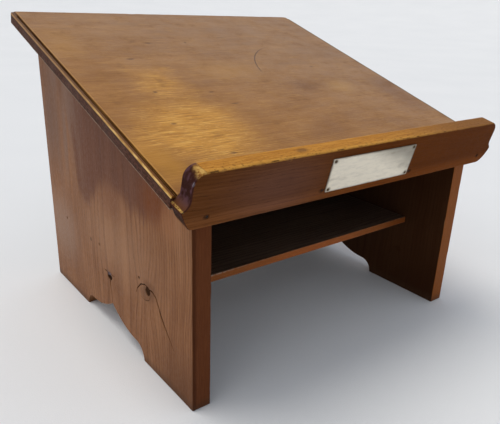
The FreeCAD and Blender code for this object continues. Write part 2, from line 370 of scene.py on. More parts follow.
# Old wax is amber, so what it reflects is too
WAX_TINT = (1.0, 0.5, 0.2)


class Value:
    """A number, vector or colour somewhere in a node tree, with plain arithmetic."""

    def __init__(self, shop, socket):
        self.shop = shop
        self.socket = socket

    def __add__(self, other):
        return self.shop.math("ADD", self, other)

    def __sub__(self, other):
        return self.shop.math("SUBTRACT", self, other)

    def __rsub__(self, other):
        return self.shop.math("SUBTRACT", other, self)

    def __mul__(self, other):
        return self.shop.math("MULTIPLY", self, other)

    def __truediv__(self, other):
        return self.shop.math("DIVIDE", self, other)

    def __abs__(self):
        return self.shop.math("ABSOLUTE", self)

    __radd__ = __add__
    __rmul__ = __mul__

    def rise(self, low, high, start=0.0, end=1.0):
        """A smooth change from start to end while the value goes from low to high."""
        inputs = {0: self, 1: low, 2: high, 3: start, 4: end}
        return self.shop.node("MapRange", inputs, interpolation_type="SMOOTHSTEP")

    def fall(self, low, high):
        return self.rise(low, high, 1, 0)

    def band(self, low, full, fading, high):
        """1 between full and fading, falling smoothly to 0 at low and at high."""
        return self.rise(low, full) * self.fall(fading, high)


class Shop:
    """Builds one material's nodes. Its colour is coated over and over, and used at the end."""

    def __init__(self, name):
        self.material = bpy.data.materials.new(name)
        self.material.use_nodes = True
        self.tree = self.material.node_tree
        self.shader = self.tree.nodes["Principled BSDF"]

    def give(self, socket, value):
        if isinstance(value, Value):
            self.tree.links.new(value.socket, socket)
        elif isinstance(value, tuple) and len(value) == 3 and socket.type == "RGBA":
            socket.default_value = (*value, 1)
        else:
            socket.default_value = value

    def node(self, kind, inputs, output=0, **settings):
        made = self.tree.nodes.new("ShaderNode" + kind)
        for key, value in settings.items():
            setattr(made, key, value)
        for key, value in inputs.items():
            self.give(made.inputs[key], value)
        return Value(self, made.outputs[output])

    def math(self, operation, a, b=0.0, c=0.0):
        return self.node("Math", {0: a, 1: b, 2: c}, operation=operation)

    def place(self):
        """Where the surface is, in millimetres in the piece's own frame."""
        coordinates = self.node("TexCoord", {}, "Object")
        scaled = self.node("VectorMath", {0: coordinates, "Scale": 1 / MM}, operation="SCALE")
        split = self.tree.nodes.new("ShaderNodeSeparateXYZ")
        self.give(split.inputs[0], scaled)
        return [Value(self, split.outputs[i]) for i in range(3)]

    def vector(self, x, y, z):
        return self.node("CombineXYZ", {0: x, 1: y, 2: z})

    def noise(self, x, y, z, detail=2.0, roughness=0.5, distortion=0.0):
        """Noise from 0 to 1, with its grain one unit long."""
        inputs = {"Vector": self.vector(x, y, z), "Scale": 1.0, "Detail": detail,
                  "Roughness": roughness, "Distortion": distortion}
        return self.node("TexNoise", inputs)

    def mix(self, share, a, b, blend="MIX"):
        return self.node("Mix", {0: share, 6: a, 7: b}, 2, data_type="RGBA", blend_type=blend)

    def layered(self, colour, *layers):
        """A colour under layers, each a share and a tone."""
        for share, tone in layers:
            colour = self.mix(share, colour, tone)
        return colour

    def coat(self, share, tone, blend="MIX"):
        """Lay a share of a tone over the colour so far."""
        self.colour = self.mix(share, self.colour, tone, blend)

    def ramp(self, value, stops):
        made = self.tree.nodes.new("ShaderNodeValToRGB")
        ramp = made.color_ramp
        ramp.interpolation = "B_SPLINE"
        while len(ramp.elements) < len(stops):
            ramp.elements.new(0.5)
        for element, (at, colour) in zip(ramp.elements, stops):
            element.position = at
            element.color = (*colour, 1)
        self.give(made.inputs[0], value)
        return Value(self, made.outputs[0])

    def curve(self, value, points):
        """A smooth curve through points (x from 0 to 1, y from 0 to 1)."""
        greys = [(x, (y, y, y)) for x, y in points]
        return self.ramp(value, greys)

    def spot(self, x, y, centre, radii, soft=0.6):
        """1 inside an ellipse, falling smoothly to 0 at its edge."""
        dx, dy = (x - centre[0]) / radii[0], (y - centre[1]) / radii[1]
        away = self.math("SQRT", dx * dx + dy * dy)
        return away.fall(1 - soft, 1)

    def worn(self):
        return self.node("Attribute", {}, "Fac", attribute_name="worn")

    def bump(self, height, distance, strength=1.0):
        """A normal from a height in parts of the distance, which is in millimetres."""
        return self.node("Bump", {"Height": height, "Distance": distance * MM, "Strength": strength})

    def finish(self, roughness, normal, specular=0.5, tint=(1.0, 1.0, 1.0), metallic=0.0):
        for key, value in {
            "Base Color": self.colour, "Roughness": roughness, "Normal": normal,
            "Specular IOR Level": specular, "Specular Tint": tint, "Metallic": metallic,
        }.items():
            self.give(self.shader.inputs[key], value)
        return self.material


class Grain:
    """Oak grain as a solid: rings, pores and rays, from where the point is in the tree."""

    def __init__(self, shop, along, across, through, heart, ring, knots=(), seed=0.0):
        self.shop = shop
        wander = shop.noise(along / 210, across / 70, through / 70 + seed) - 0.5
        waver = shop.noise(along / 45, across / 14, through / 14 + seed) - 0.5
        across = across + wander * 26 + waver * 3.5
        for at_along, at_across, reach, push in knots:
            off = across - at_across
            near = (off / reach) * (off / reach)
            near = near + ((along - at_along) / (reach * 2.2)) * ((along - at_along) / (reach * 2.2))
            across = across + off * (push * 1.0) * shop.math("EXPONENT", near * -1.0)
        dx, dz = across - heart[0], through - heart[1]
        distance = shop.math("SQRT", dx * dx + dz * dz)
        years = distance / ring
        years = years + shop.noise(years / 7, 0.0, seed) * 3.0
        self.season = shop.math("FRACT", years)
        self.early = self.season.fall(0.05, 0.55) * self.season.rise(0, 0.06)
        self.streak = shop.noise(along / 34, across / 0.9, through / 0.9 + seed, detail=3, roughness=0.6)
        self.band = shop.noise(along / 160, across / 9, through / 9 + seed, detail=2)
        self.cloud = shop.noise(along / 75, across / 45, through / 45 + seed, detail=3)
        fine = shop.noise(along / 5.5, across / 0.42, through / 0.42 + seed, detail=1)
        self.pores = fine.rise(0.58, 0.68) * (self.early * 0.75 + 0.25)
        fleck = shop.noise(along / 7, across / 1.5, through / 5 + seed, detail=1, distortion=0.4)
        self.rays = fleck.rise(0.6, 0.68)

    def relief(self, streaks, pores, rings):
        """How high the surface stands."""
        return self.streak * streaks - self.pores * pores - self.early * rings

    def tone(self, streaks, bands, clouds, rings):
        """How light the wood is, from about 0 to 1."""
        tone = (self.streak - 0.5) * streaks + (self.band - 0.5) * bands
        return tone + (self.cloud - 0.5) * clouds - self.early * rings + 0.5 + rings * 0.3


def floor_material():
    shop = Shop("pale_cloth_floor")
    x, y, _ = shop.place()
    shade = shop.noise(x / 400, y / 400, 0.0)
    shop.colour = shop.mix(shade, (0.78, 0.79, 0.8), (0.84, 0.845, 0.85))
    weave = shop.noise(x / 1.2, y / 1.2, 0.0)
    return shop.finish(0.95, shop.bump(weave, 0.2), specular=0.1)


def board_marks(shop, x, u, grain):
    """Where the board is dented, and where its curved scratch runs."""
    dents = 0.0
    for cx, cu, rx, ru in BOARD_MARKS:
        mark = shop.spot(x + (grain.streak - 0.5) * 4, u, (cx, cu), (rx, ru), 0.7)
        dents = mark + dents
    sx, su, radius, low, high, width = BOARD_SCRATCH
    dx, du = x - sx, u - su
    off = abs(shop.math("SQRT", dx * dx + du * du) - radius)
    scratch = off.fall(width * 0.4, width) * u.rise(low, low + 12)
    return shop.math("MINIMUM", dents, 1.0), scratch * u.fall(high - 25, high) * dx.fall(0, 10)


def moulding_colour(shop, x, edge, u, n, grain, speckle):
    """Gold on the bead's outer shoulder, most near the stop, partly worn and partly a painted highlight;
    painted shade in the quirk, and dark below it.
    """
    near_end = (u + (grain.cloud - 0.5) * 160).rise(-10, 240, 1.0, 0.08)
    # Partly wear and partly a painted highlight: the gold on the bead's outer shoulder, with painted glints
    # near the stop.
    worn_gold_and_highlight = shop.mix(near_end, (0.28, 0.145, 0.06), (0.46, 0.24, 0.055))
    painted_bead_glint = shop.noise(x / 2, u / 16, n / 2, detail=3).rise(0.44, 0.58) * near_end
    worn_gold_and_highlight = shop.mix(painted_bead_glint * 0.8, worn_gold_and_highlight, (0.86, 0.58, 0.22))
    crown = shop.mix(near_end, (0.125, 0.055, 0.018), (0.145, 0.052, 0.007))
    crown = shop.mix(speckle.rise(0.5, 0.64) * 0.5, crown, (0.07, 0.024, 0.006))
    outer = edge - (BOARD_HALF - BEAD_RADIUS) + (speckle - 0.5) * 0.5
    low_wall = n.band(QUIRK_FLOOR + 0.15, QUIRK_FLOOR + 0.35, QUIRK_FLOOR + 0.65, QUIRK_FLOOR + 0.95)
    low_wall = low_wall * edge.fall(SHOULDER + 0.3, SHOULDER + 0.6)
    # Painted shade: the second layer darkens the quirk.
    bead = shop.layered(crown, (outer.rise(BEAD_RADIUS * 0.38, BEAD_RADIUS * 0.72), worn_gold_and_highlight),
                        (edge.fall(SHOULDER + 0.9, SHOULDER + 1.5), (0.055, 0.013, 0.001)),
                        (x.rise(0, 20) * 0.8, (0.1, 0.055, 0.03)),
                        (low_wall * near_end * speckle.rise(0.3, 0.5), (0.52, 0.27, 0.07)))
    square_edge = shop.mix(speckle.rise(0.35, 0.65), (0.029, 0.009, 0.006), (0.084, 0.031, 0.02))
    top_of_edge = n.rise(QUIRK_FLOOR - 1.2, QUIRK_FLOOR - 0.6)
    square_edge = shop.mix(top_of_edge, square_edge, (0.035, 0.011, 0.006))
    return shop.mix(n.rise(QUIRK_FLOOR - 0.1, QUIRK_FLOOR + 0.9), square_edge, bead)


def board_material():
    """Golden brown top, brightest at the front left, partly where hands have worn it and partly as a painted
    highlight.
    """
    shop = Shop("oak_board")
    x, u, n = shop.place()
    grain = Grain(shop, x + u * 0.05, u, n, (-330, -60), 2.2, seed=3.0)
    tone = grain.tone(0.42, 0.3, 0.35, 0.1)
    shop.colour = shop.ramp(tone, [(0.2, (0.15, 0.056, 0.013)), (0.45, (0.3, 0.13, 0.033)),
                                   (0.6, (0.38, 0.176, 0.049)), (0.85, (0.49, 0.245, 0.074))])
    # Painted sheen: the greyer back and right of the board stand for the reflection of a bright backdrop.
    painted_back_sheen = (x * 0.55 + u * 0.75 + grain.cloud * 120).rise(30, 330)
    shop.coat(painted_back_sheen * 0.65, shop.mix(0.55, shop.colour, (0.3, 0.21, 0.15)))
    ragged = (grain.cloud - 0.5) * 60 + (grain.streak - 0.5) * 30
    # Partly wear and partly a painted highlight: the golden patch at the front left.
    golden = shop.spot(x + ragged, u + ragged, (-134, 84), (74, 84), 0.75)
    above = shop.spot(x + ragged, u + ragged, (-124, 180), (42, 66), 0.9) * 0.6
    warmth = shop.math("MAXIMUM", golden, above)
    gold = shop.mix(grain.streak.rise(0.35, 0.65), (0.47, 0.205, 0.028), (0.74, 0.36, 0.055))
    shop.coat(warmth * 0.8, gold)
    shop.coat(grain.rays * (warmth * 0.38 + 0.08), (0.8, 0.47, 0.14))
    fibre = shop.noise(x / 26 + u / 90, u / 1.9, n / 1.9, detail=2, distortion=0.3)
    shop.coat(fibre.rise(0.54, 0.66) * (warmth * 0.34 + 0.09), (0.84, 0.5, 0.13))
    shop.coat(fibre.fall(0.34, 0.46) * (warmth * 0.25 + 0.09), (0.25, 0.095, 0.016))
    shop.coat(grain.pores * 0.45, (0.09, 0.04, 0.018))
    grime = shop.noise(x / 28, u / 22, n / 20, detail=4, roughness=0.6)
    shop.coat(grime.rise(0.58, 0.72) * 0.3, (0.12, 0.06, 0.035))

    for cx, cu, rx, ru, share, patch in BOARD_PATCHES:
        spread = shop.spot(x + ragged * 0.5, u + ragged * 0.4, (cx, cu), (rx, ru), 0.9)
        shop.coat(spread * share, patch)

    dents, scratch = board_marks(shop, x, u, grain)
    shop.coat(dents * 0.6, (0.055, 0.025, 0.014))
    shop.coat(scratch * 0.75, (0.06, 0.035, 0.03))

    edge = abs(x)
    speckle = shop.noise(x / 1.2, u / 3.0, n / 1.2, detail=3)
    in_moulding = edge.rise(SHOULDER - 0.2, SHOULDER + 0.1)
    shop.coat(in_moulding, moulding_colour(shop, x, edge, u, n, grain, speckle))
    lip = edge.rise(SHOULDER - 1.3, SHOULDER - 0.5) * (1.0 - in_moulding)
    shop.coat(lip * 0.22, (0.62, 0.34, 0.1))
    under = -BOARD_THICKNESS
    underside = shop.mix(grain.streak, (0.1, 0.052, 0.028), (0.19, 0.105, 0.058))
    shop.coat(n.fall(under + 0.05, under + 0.3), underside)
    # Painted highlight: a pale line on the lower outer arris, where it catches the light.
    painted_low_arris_highlight = n.band(under + 0.1, under + 0.4, under + 0.9, under + 1.3)
    shop.coat(painted_low_arris_highlight * speckle.rise(0.3, 0.5) * 0.7, (0.42, 0.31, 0.22))
    worn = shop.worn() * speckle.rise(0.3, 0.6) * u.rise(BOARD_LENGTH - 4, BOARD_LENGTH - 2)
    shop.coat(worn * 0.45, (0.3, 0.16, 0.07))

    height = grain.relief(0.35, 0.6, 0.25) - dents * 1.2 - scratch * 1.2
    sag = shop.noise(x / 90, u / 60, 0.0) * 6.0
    roughness = grime.rise(0.3, 0.75, 0.33, 0.52) - warmth * 0.06 + grain.pores * 0.2
    roughness = roughness + in_moulding * n.rise(QUIRK_FLOOR - 0.2, QUIRK_FLOOR + 0.7, 0.3, 0)
    return shop.finish(roughness, shop.bump(height + sag, 0.09), specular=0.3, tint=WAX_TINT)


# Marks on the board's face (across, up the slope, and their reach), and its curved scratch
BOARD_MARKS = [
    (-84, 286, 7, 2.6), (-127, 243, 7, 2.4), (-33, 286, 2.4, 3.4), (-138, 164, 3.4, 3.0),
    (-76, 156, 4.5, 2.0), (-152, 101, 4.5, 2.2), (-64, 128, 7, 1.6), (-124, 42, 5, 2.4),
    (28, 300, 9, 1.4), (110, 205, 5, 1.8),
]
# Lighter and darker patches: centre, reach, share and colour
BOARD_PATCHES = [
    (55, 150, 26, 22, 0.4, (0.13, 0.05, 0.022)), (108, 145, 34, 22, 0.4, (0.52, 0.29, 0.09)),
    (185, 120, 36, 70, 0.5, (0.15, 0.06, 0.026)), (10, 60, 60, 30, 0.3, (0.17, 0.07, 0.03)),
    (-20, 205, 70, 36, 0.3, (0.47, 0.25, 0.08)), (70, 330, 90, 30, 0.35, (0.26, 0.15, 0.09)),
    (-185, 290, 30, 60, 0.3, (0.47, 0.24, 0.06)), (-196, 42, 26, 60, 0.6, (0.52, 0.24, 0.03)),
    (-197, 6, 26, 12, 0.35, (0.16, 0.05, 0.02)), (150, 250, 60, 40, 0.3, (0.24, 0.13, 0.07)),
]
BOARD_SCRATCH = (117, 178, 97, 192, 275, 0.95)


def stop_gold(shop, x, b, grain, speckle, pits):
    """The stop's top: golden where it is worn, duller to the right, with dark pits."""
    gold = shop.mix(grain.streak.rise(0.3, 0.7), (0.37, 0.145, 0.024), (0.575, 0.265, 0.05))
    dull = x.rise(-20, 160)
    polished = b.fall(STOP_FACE + 1, STOP_FACE + 6)
    ridge = b.rise(-1.9, -0.9) * speckle.rise(0.3, 0.5)
    stain = shop.spot(x, b, (-92, -8), (10, 5), 0.8)
    return shop.layered(gold, (dull * 0.82, (0.2, 0.085, 0.03)),
                        (polished * (1.0 - dull) * 0.35, (0.66, 0.36, 0.07)),
                        (ridge * 0.45, (0.56, 0.33, 0.16)), (pits * 0.75, (0.085, 0.035, 0.014)),
                        (stain * 0.6, (0.1, 0.05, 0.03)))


def stop_material():
    """Dark brown front with golden wear along the top."""
    shop = Shop("oak_stop")
    x, b, v = shop.place()
    grain = Grain(shop, x - v * 1.2, v, b, (-70, -130), 1.9, seed=11.0)
    tone = grain.tone(0.45, 0.3, 0.25, 0.07)
    shop.colour = shop.ramp(tone, [(0.2, (0.052, 0.012, 0.002)), (0.45, (0.098, 0.026, 0.004)),
                                   (0.62, (0.126, 0.035, 0.006)), (0.85, (0.172, 0.054, 0.011))])
    faded = shop.spot(x + (grain.streak - 0.5) * 30, v, (-112, 2), (85, 40), 0.9)
    shop.coat(faded * 0.18, (0.2, 0.092, 0.05))
    shop.coat(x.rise(20, 90) * 0.5, (0.1, 0.026, 0.003))
    shop.coat(grain.pores * 0.45, (0.022, 0.008, 0.004))
    # Painted sheen: a bluish grey veil over the left part of the stop, in place of the reflection that the
    # low specular level leaves out.
    painted_sheen_left = x.fall(-130, 20)
    shop.coat(painted_sheen_left, (0.97, 1.25, 2.3), "MULTIPLY")
    paler = (v + (grain.streak - 0.5) * 4).fall(-18, -11)
    shop.coat(paler, (1.45, 1.5, 1.6), "MULTIPLY")
    speckle = shop.noise(x / 3.5, b / 2.0, v / 2.0, detail=4, roughness=0.65)
    top = (v + (speckle - 0.5) * 2.2).rise(STOP_RISE - 1.6, STOP_RISE - 0.5)
    pits = speckle.rise(0.53, 0.66) * b.rise(STOP_FACE, STOP_FACE + 14, 0.95, 0.2)
    shop.coat(top, stop_gold(shop, x, b, grain, speckle, pits))
    out = abs(x)
    turn_x, turn_v = BOARD_HALF - EAR_INSET - EAR_RADIUS, STOP_RISE - EAR_RADIUS
    round_off = shop.math("MAXIMUM", out - turn_x, 0.0)
    spoke = shop.math("SQRT", round_off * round_off + (v - turn_v) * (v - turn_v))
    rim = spoke.rise(EAR_RADIUS - 1.6, EAR_RADIUS - 0.8) * out.rise(turn_x, turn_x + 1)
    patchy = shop.noise(x / 3.5, b / 4.5, v / 3.5, detail=2)
    # Painted highlight: bright gold on the ear's rounded top, where it catches the light.
    bright = rim * (v - b * 0.26 + (patchy - 0.5) * 4).rise(STOP_RISE - 1.4, STOP_RISE + 2.8)
    bright = bright * x.rise(0, 20, 1, 0.25)
    fine = shop.noise(x / 0.9, b / 1.1, v / 0.9, detail=3)
    painted_ear_highlight_tone = shop.mix((patchy * 0.6 + fine * 0.4).rise(0.42, 0.6), (0.26, 0.11, 0.025), (0.58, 0.35, 0.1))
    shop.coat(bright * 0.92, painted_ear_highlight_tone)
    ear = out.rise(BOARD_HALF - EAR_INSET - 1.5, BOARD_HALF - EAR_INSET + 0.2)
    ear = shop.math("MAXIMUM", ear, rim) * v.rise(-8, 0) * (1.0 - bright)
    ear = ear * b.rise(STOP_FACE + 0.2, STOP_FACE + 1.2)
    # Painted sheen: the lighter violet on the ear's dark end face.
    sheen = shop.noise(x / 9, b / 7, v / 9, detail=2).rise(0.4, 0.62)
    purple = shop.mix(sheen, (0.03, 0.01, 0.009), (0.085, 0.04, 0.05))
    purple = shop.mix(v.rise(-7, 4, 0.7, 0), purple, (0.13, 0.055, 0.03))
    shop.coat(ear * 0.92, purple)
    # Painted highlight: the board's bead highlight carried on along the lower lip of the stop's cove.
    painted_bead_end_highlight = out.rise(BOARD_HALF - 2.3, BOARD_HALF - 1.6) * v.rise(-6.4, -5.8)
    painted_bead_end_highlight = painted_bead_end_highlight * v.fall(-4.3, -3.6) * patchy.rise(0.36, 0.5, 0.5, 1)
    bead_end_highlight_tone = shop.mix(fine.rise(0.38, 0.62), (0.15, 0.06, 0.02), (0.6, 0.37, 0.1))
    shop.coat(painted_bead_end_highlight * 0.9, bead_end_highlight_tone)
    end_face = out.rise(BOARD_HALF - 6, BOARD_HALF - 5) * v.fall(-7.0, -6.4)
    end_face = end_face * b.rise(STOP_FACE + 0.2, STOP_FACE + 1.2)
    end_tone = shop.mix(v.rise(-15, -12), (0.022, 0.009, 0.006), (0.036, 0.013, 0.012))
    shop.coat(end_face * 0.9, end_tone)
    # Painted glint: a small pale blue specular highlight on the ear's front arris.
    painted_ear_glint = shop.spot(b, v, (-16.3, 17.2), (0.8, 2.8), 0.6) * x.fall(-BOARD_HALF + 8, -BOARD_HALF + 9)
    shop.coat(painted_ear_glint * 0.8, (0.4, 0.38, 0.44))
    corner = shop.worn() * out.rise(turn_x + 3, turn_x + 7) * (1.0 - bright)
    shop.coat(corner * 0.85, (0.034, 0.012, 0.013))
    rub = shop.worn() * speckle.rise(0.34, 0.58) * out.fall(turn_x, turn_x + 5)
    upper = v.rise(6, 20, 0.15, 1)
    shop.coat(rub * upper * 0.45, (0.4, 0.2, 0.06))
    broken = shop.worn() * b.fall(STOP_FACE + 1.8, STOP_FACE + 2.6)
    broken = broken * shop.noise(x / 15, 0.0, 3.0, detail=4).rise(0.54, 0.6) * v.rise(20, 23)
    shop.coat(broken * 0.9, (0.03, 0.011, 0.008))
    for nail_x in RUST_PLACES:
        rust = shop.spot(x + (speckle - 0.5) * 4, v, (nail_x, -STOP_NAIL_DROP), (4.2, 3.4), 0.8)
        shop.coat(rust * 0.7, (0.014, 0.007, 0.005))
    height = grain.relief(0.5, 0.8, 0.35) - pits * top * 1.0
    sag = shop.noise(x / 40, b / 20, v / 20) * 4.0
    roughness = speckle.rise(0.3, 0.7, 0.34, 0.52)
    return shop.finish(roughness, shop.bump(height + sag, 0.1), specular=0.012, tint=WAX_TINT)


# Where across the stop the rust round its nails is centred
RUST_PLACES = (-187.6, -64.4, 60.5, 186)


def side_material(name, hand, knots, seed):
    """Mid brown upright grain. Hand is -1 for the left side and 1 for the right."""
    shop = Shop(name)
    x, y, z = shop.place()
    depth = y - FRONT
    inner = BODY_HALF - x * hand
    grain = Grain(shop, z + depth * 0.04, depth, x, (150, hand * 420), 1.8, knots, seed)
    tone = grain.tone(0.5, 0.35, 0.3, 0.14)
    shop.colour = shop.ramp(tone, [(0.2, (0.125, 0.045, 0.018)), (0.45, (0.225, 0.095, 0.041)),
                                   (0.62, (0.29, 0.132, 0.06)), (0.85, (0.37, 0.185, 0.092))])
    shop.coat(grain.pores * 0.5, (0.05, 0.022, 0.013))
    share = depth / (BACK - FRONT)
    edge = shop.curve(share, REDDER_ZONE_EDGE)
    flicker = shop.noise(depth / 13, z / 90, seed, detail=2)
    above = z / side_high[2] - edge + (flicker - 0.5) * 0.09
    redder_zone = above.rise(-0.02, 0.05) * share.rise(0.1, 0.16)
    redder_zone = redder_zone * (share + (flicker - 0.5) * 0.2).rise(0.62, 0.86, 1, 0.25)
    silk = shop.noise(depth / 17, z / 160, seed + 5, detail=2)
    reddish = shop.mix(silk, (0.082, 0.024, 0.012), (0.165, 0.066, 0.038))
    shop.coat(redder_zone * 0.85, reddish)
    # Painted sheen: a pale grey veil towards the back of a side, above 120 mm.
    pale = silk.rise(0.42, 0.62) * z.rise(120, 200) * share.rise(0.62, 0.78) * 0.6
    shop.coat(pale, (0.23, 0.14, 0.1))
    for at_z, at_y, reach, _ in knots:
        ring = shop.spot(depth + (grain.streak - 0.5) * 3, z, (at_y, at_z), (reach, reach * 0.62), 0.5)
        shop.coat(ring * 0.5, (0.12, 0.048, 0.02))
    if hand < 0:
        # Painted shade: dark inside the carved knot hole, cracks and nail dimples, and on the inner face up
        # to just above the shelf.
        painted_recess_shade = inner.rise(0.3, 1.0) * z.rise(ARCH_HEIGHT + 1, ARCH_HEIGHT + 3)
        painted_recess_shade = painted_recess_shade * z.fall(105, 110) * depth.rise(15, 20) * depth.fall(200, 205)
        shop.coat(painted_recess_shade, (0.022, 0.009, 0.005))
        # Painted highlight: a grey lavender gleam inside the split knot.
        painted_sliver_highlight = shop.spot(depth, z - depth * 0.1, (175, 50.5), (10, 3.4), 0.5) * inner.rise(0.15, 0.5)
        shop.coat(painted_sliver_highlight * 0.85, (0.26, 0.2, 0.215))
    for at_y, at_z, reach_y, reach_z, share, patch in SIDE_PATCHES:
        spread = shop.spot(depth + (flicker - 0.5) * 30, z, (at_y, at_z), (reach_y, reach_z), 0.9)
        shop.coat(spread * share, patch)
    front = depth.fall(0.1, 0.6)
    front_tone = shop.mix(grain.streak, (0.069, 0.019, 0.0075), (0.145, 0.047, 0.017))
    if hand > 0:
        front_tone = shop.mix(grain.streak, (0.15, 0.04, 0.008), (0.29, 0.09, 0.018))
    shop.coat(front, front_tone)
    # Painted shade: the inner face, in the stand's shadow, is coated near black.
    inside = inner.rise(SIDE_THICKNESS - 0.3, SIDE_THICKNESS - 0.05)
    painted_inner_shade = (0.019, 0.0055, 0.0018) if hand > 0 else (0.04, 0.014, 0.005)
    shop.coat(inside * 0.88, painted_inner_shade)
    speckle = shop.noise(x / 2.5, depth / 2.5, z / 5, detail=3)
    rub = shop.worn() * speckle.rise(0.35, 0.6) * depth.rise(2, 4)
    shop.coat(rub * 0.5, (0.4, 0.23, 0.12))
    if hand < 0:
        front_arris = depth.fall(0.3, 1.2) * inner.fall(2.0, 5.0)
        shop.coat(front_arris * 0.6, (0.034, 0.01, 0.004))
    grime = (z + (speckle - 0.5) * 8).rise(2, 12, 0.5, 0)
    shop.coat(grime, (0.06, 0.03, 0.018))
    filled = shop.spot(depth, z, (219, 94), (3.2, 3.2), 0.6)
    shop.coat(filled * 0.6, (0.045, 0.022, 0.014))
    height = grain.relief(0.5, 0.8, 0.4)
    sag = shop.noise(depth / 26, z / 120, 0.0, detail=1) * 9.0
    roughness = speckle.rise(0.3, 0.7, 0.38, 0.55)
    return shop.finish(roughness, shop.bump(height + sag, 0.09), specular=0.06, tint=WAX_TINT)


# Lighter and darker patches of a side: depth and height, their reach, share and colour. The pale grey patch
# at depth 310 and height 80 is a painted sheen.
SIDE_PATCHES = [
    (150, 112, 150, 60, 0.3, (0.42, 0.24, 0.14)), (312, 215, 42, 90, 0.75, (0.165, 0.082, 0.05)),
    (310, 80, 75, 65, 0.65, (0.32, 0.2, 0.14)), (66, 186, 42, 34, 0.7, (0.19, 0.052, 0.01)),
    (34, 176, 30, 30, 0.4, (0.4, 0.17, 0.075)), (160, 160, 45, 32, 0.6, (0.205, 0.085, 0.042)),
    (77, 92, 18, 13, 0.5, (0.1, 0.04, 0.02)), (12, 8, 90, 75, 0.72, (0.11, 0.042, 0.018)),
]
# Lower edge of the darker, redder upper zone on a side: share of the depth, and of the height
REDDER_ZONE_EDGE = [(0.0, 0.62), (0.09, 0.58), (0.18, 0.53), (0.28, 0.5), (0.36, 0.53), (0.45, 0.53),
              (0.53, 0.54), (0.59, 0.47), (0.66, 0.39), (0.72, 0.45), (0.74, 0.62), (0.8, 0.8)]


def inner_material(name, along, across, through, tones, seed, front=None):
    """Plain oak for the pieces inside. The letters name the axes of its grain, and
    front gives a depth and two tones where the front edge has worn to another colour."""
    shop = Shop(name)
    axes = dict(zip("xyz", shop.place()))
    grain = Grain(shop, axes[along], axes[across], axes[through], (-180, 260), 2.8, seed=seed)
    tone = grain.tone(0.5, 0.35, 0.35, 0.25)
    dark, middle, light = tones
    shop.colour = shop.ramp(tone, [(0.2, dark), (0.5, middle), (0.8, light)])
    shop.coat(grain.pores * 0.5, tuple(0.3 * part for part in dark))
    if front:
        at, front_dark, front_light = front
        faces_front = axes["y"].fall(at + 0.3, at + 1.2)
        front_tone = shop.mix(grain.streak, front_dark, front_light)
        middle_share = shop.spot(axes["x"], 0.0, (10, 0), (120, 1), 1.0)
        front_tone = shop.mix(middle_share, front_tone, (1.35, 1.2, 1.1), blend="MULTIPLY")
        right_end = axes["x"].rise(110, 165)
        front_tone = shop.mix(right_end, front_tone, (0.8, 0.68, 0.55), blend="MULTIPLY")
        frayed = axes["z"].rise(SHELF_TOP - 1.9, SHELF_TOP - 1.0) * axes["x"].fall(-150, -70)
        frayed = frayed * shop.noise(axes["x"] / 5, 0.0, 2.0, detail=3).rise(0.4, 0.52)
        front_tone = shop.mix(frayed * 0.8, front_tone, (0.36, 0.26, 0.2))
        shop.coat(faces_front, front_tone)
    speckle = shop.noise(axes["x"] / 3, axes["y"] / 3, axes["z"] / 3, detail=4, roughness=0.65)
    rub = shop.worn() * speckle.rise(0.4, 0.6)
    shop.coat(rub * 0.6, tuple(min(1, 1.7 * part) for part in light))
    height = grain.relief(0.5, 0.8, 0.4)
    roughness = speckle.rise(0.3, 0.7, 0.45, 0.62)
    return shop.finish(roughness, shop.bump(height, 0.1), specular=0.15, tint=WAX_TINT)


def plaque_material():
    """Dulled silver plate, brushed along its length, darker round its edge and pins."""
    shop = Shop("plaque_metal")
    x, b, v = shop.place()
    brush = shop.noise(x / 18, b, v / 0.25, detail=3, roughness=0.7)
    cloud = shop.noise(x / 22, b, v / 9, detail=3)
    dx = abs(x - PLAQUE_CENTRE[0])
    dv = abs(v - PLAQUE_CENTRE[1])
    rim = shop.math("MAXIMUM", dx - PLAQUE_WIDTH / 2, dv - PLAQUE_HEIGHT / 2)
    tarnish = (rim + (cloud - 0.5) * 3).rise(-2.2, 0.2)
    pin_x, pin_v = PLAQUE_WIDTH / 2 - PLAQUE_PIN_INSET[0], PLAQUE_HEIGHT / 2 - PLAQUE_PIN_INSET[1]
    halo = shop.spot(dx + (cloud - 0.5) * 2, dv, (pin_x, pin_v), (4.5, 4.0), 0.9)
    tarnish = shop.math("MAXIMUM", tarnish * 0.6, halo * 0.85)
    tarnish = shop.math("MAXIMUM", tarnish, cloud.rise(0.55, 0.8) * 0.35)
    shop.colour = shop.mix(brush, (0.67, 0.61, 0.5), (0.92, 0.85, 0.715))
    far_end = (x + v * 2.2 + (cloud - 0.5) * 34).rise(6, 74)
    shop.coat(far_end * 0.84, (0.24, 0.215, 0.175))
    smear = shop.noise(x / 14 + 4, b, v / 3.2, detail=4, roughness=0.65).rise(0.44, 0.66)
    shop.coat(smear * 0.18, (0.34, 0.32, 0.28))
    shop.coat(tarnish, (0.17, 0.14, 0.1))
    scratches = shop.noise(x / 9 + v * 0.4, b, v / 0.12 + x * 0.35, detail=1).rise(0.68, 0.74)
    roughness = brush.rise(0.2, 0.8, 0.36, 0.5) + tarnish * 0.2
    normal = shop.bump(brush * 0.6 - scratches * 0.8 + cloud * 2.5, 0.035)
    return shop.finish(roughness, normal, metallic=1.0)


def metal_material(name, dark, light, metallic, roughness, seed):
    """Small dark fixings, tarnished unevenly."""
    shop = Shop(name)
    x, y, z = shop.place()
    mottle = shop.noise(x / 0.9, y / 0.9, z / 0.9 + seed, detail=4, roughness=0.65)
    shop.colour = shop.mix(mottle.rise(0.35, 0.65), dark, light)
    rough = mottle.rise(0.3, 0.7, roughness, roughness + 0.2)
    return shop.finish(rough, shop.bump(mottle, 0.08), metallic=metallic)


# Pieces


def piece(thing, node, material):
    """Finish one piece: its shading, its material, and the node that it stands for."""
    shaded(thing)
    thing.data.materials.clear()
    thing.data.materials.append(material)
    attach(thing, "root")
    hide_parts(node)
    return thing


